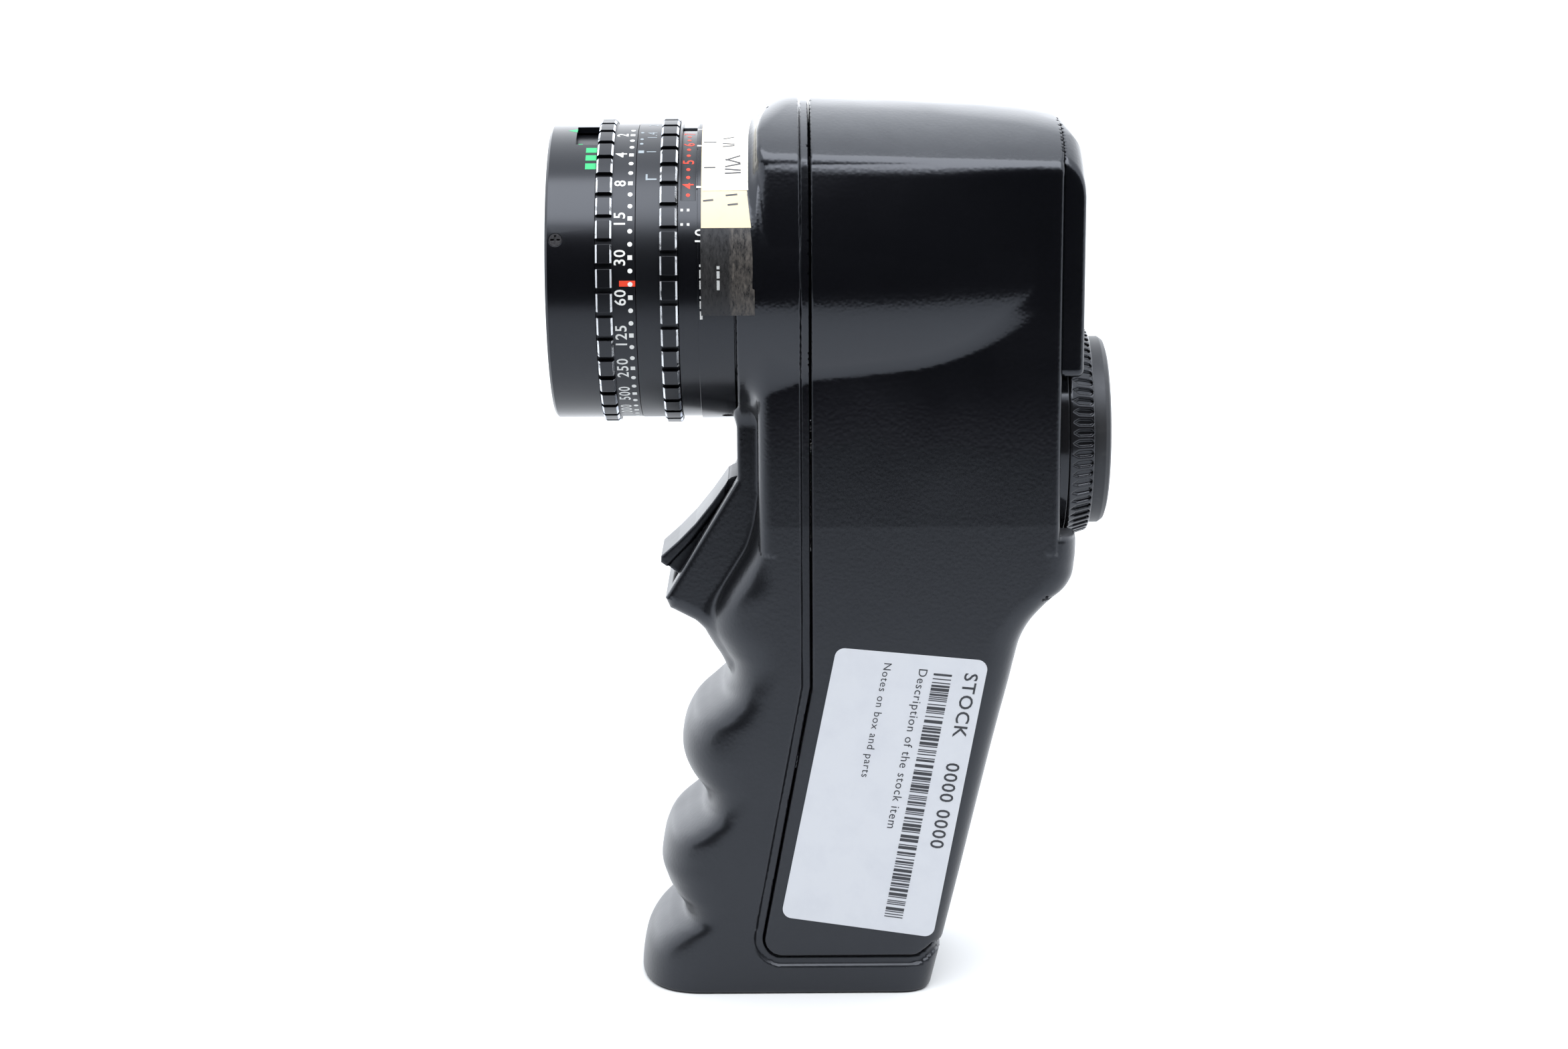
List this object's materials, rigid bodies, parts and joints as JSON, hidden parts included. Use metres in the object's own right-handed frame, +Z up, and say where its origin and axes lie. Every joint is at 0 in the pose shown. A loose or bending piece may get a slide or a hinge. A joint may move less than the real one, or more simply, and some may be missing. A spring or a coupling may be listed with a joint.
{
  "type": "handheld spot light meter",
  "caption": "Pistol-grip spot light meter with a round scale barrel, knurled eyepiece, finger-grooved grip and a trigger under the barrel.",
  "frame": {"origin": "on the flat base of the grip, below the mid-plane, where the meter stands", "axes": "+X from the lens towards the eyepiece, +Z up, Y = 0 the mid-plane of the body"},
  "size_m": [0.0891, 0.049, 0.1463],
  "materials": {
    "housing_plastic": "satin black, fine leather grain",
    "black_anodised": "black anodised, satin",
    "gloss_black": "glossy black moulding",
    "black_rubber": "soft, matte",
    "steel": "plain",
    "black_steel": "blackened screw",
    "optical_glass": "coated, clear",
    "mirror_glass": "front silvered",
    "matte_black": "flat black",
    "label_paper": "white satin label",
    "tape_paper": "aged cream masking tape",
    "clear_film": "grubby clear adhesive tape",
    "board_green": "solder mask",
    "chip_black": "moulded epoxy",
    "battery_shell": "nickel can",
    "blue_case": "trimmer case",
    "red_window": "display window"
  },
  "bodies": {
    "housing": {"amplifier_chip": "chip_black", "barrel_nut": "black_anodised", "battery": "battery_shell", "battery_sleeve": "matte_black", "battery_spring": "steel", "battery_top_contact": "steel", "board_screws": "steel", "capacitors": "blue_case", "clear_tape": "clear_film", "condenser_lens": "optical_glass", "cover_screws": "steel", "detent_balls": "steel", "detent_springs": "steel", "diopter_stop_pin": "steel", "eyepiece_base": "gloss_black", "eyepiece_screws": "steel", "finder_prism": "optical_glass", "focusing_screen": "optical_glass", "front_housing": "housing_plastic", "front_lens": "optical_glass", "front_ring": "black_anodised", "front_ring_screws": "black_steel", "housing_screws": "steel", "led_display": "red_window", "lens_retaining_ring": "black_anodised", "lens_spacer": "matte_black", "lens_tube": "black_anodised", "light_baffle": "matte_black", "main_circuit_board": "board_green", "mirror_box": "matte_black", "mirror_box_screws": "steel", "paper_tape": "tape_paper", "photodiode": "battery_shell", "price_label": "label_paper", "prism_clip": "steel", "processor_chip": "chip_black", "rear_cover": "housing_plastic", "rear_housing": "housing_plastic", "rear_lens": "optical_glass", "reflex_mirror": "mirror_glass", "scale_sleeve": "black_anodised", "screen_clip": "steel", "sensor_board": "board_green", "sleeve_screws": "black_steel", "spot_mask": "matte_black", "trigger_pin": "steel", "trigger_spring": "steel", "trigger_switch": "chip_black", "trimmer_potentiometers": "blue_case"},
    "film_speed_ring": {"film_speed_ring": "black_anodised"},
    "exposure_ring": {"exposure_ring": "black_anodised"},
    "trigger": {"trigger_lever": "housing_plastic"},
    "switch_plunger": {"switch_plunger": "matte_black"},
    "diopter": {"diopter_ring": "gloss_black", "rubber_eyecup": "black_rubber"},
    "eyepiece_cell": {"eyepiece_lens_cell": "black_anodised", "eyepiece_lens": "optical_glass"},
    "battery_cap": {"battery_cap": "housing_plastic", "cap_contact": "steel"}
  },
  "joints": [
    {"name": "film_speed_ring_turn", "type": "hinge", "parent": "housing", "child": "film_speed_ring", "pos_m": [-0.0265, 0, 0.1184], "axis": [1, 0, 0], "range_deg": [-150, 150]},
    {"name": "exposure_ring_turn", "type": "hinge", "parent": "housing", "child": "exposure_ring", "pos_m": [-0.0175, 0, 0.1184], "axis": [1, 0, 0], "continuous": true},
    {"name": "trigger_press", "type": "hinge", "parent": "housing", "child": "trigger", "pos_m": [-0.0076, 0, 0.0834], "axis": [0, -1, 0], "range_deg": [0, 7], "stiffness_Nm_per_rad": 0.3, "springref_deg": -8.59, "deforming": ["trigger_spring"]},
    {"name": "switch_plunger_slide", "type": "slide", "parent": "housing", "child": "switch_plunger", "axis": [0.8563, 0, -0.5165], "range_m": [0, 0.0016]},
    {"name": "diopter_turn", "type": "hinge", "parent": "housing", "child": "diopter", "pos_m": [0.047, 0, 0.0918], "axis": [1, 0, 0], "range_deg": [-60, 60]},
    {"name": "eyepiece_cell_slide", "type": "slide", "parent": "housing", "child": "eyepiece_cell", "axis": [1, 0, 0], "range_m": [-0.00085, 0.00085]},
    {"name": "battery_cap_turn", "type": "hinge", "parent": "housing", "child": "battery_cap", "pos_m": [0.002, 0, 0.001], "axis": [0, 0, 1], "range_deg": [0, 60]}
  ],
  "couplings": [
    {"joint": "switch_plunger_slide", "follows": "trigger_press", "m_per_rad": 0.0125},
    {"joint": "eyepiece_cell_slide", "follows": "diopter_turn", "m_per_rad": 0.00078}
  ]
}
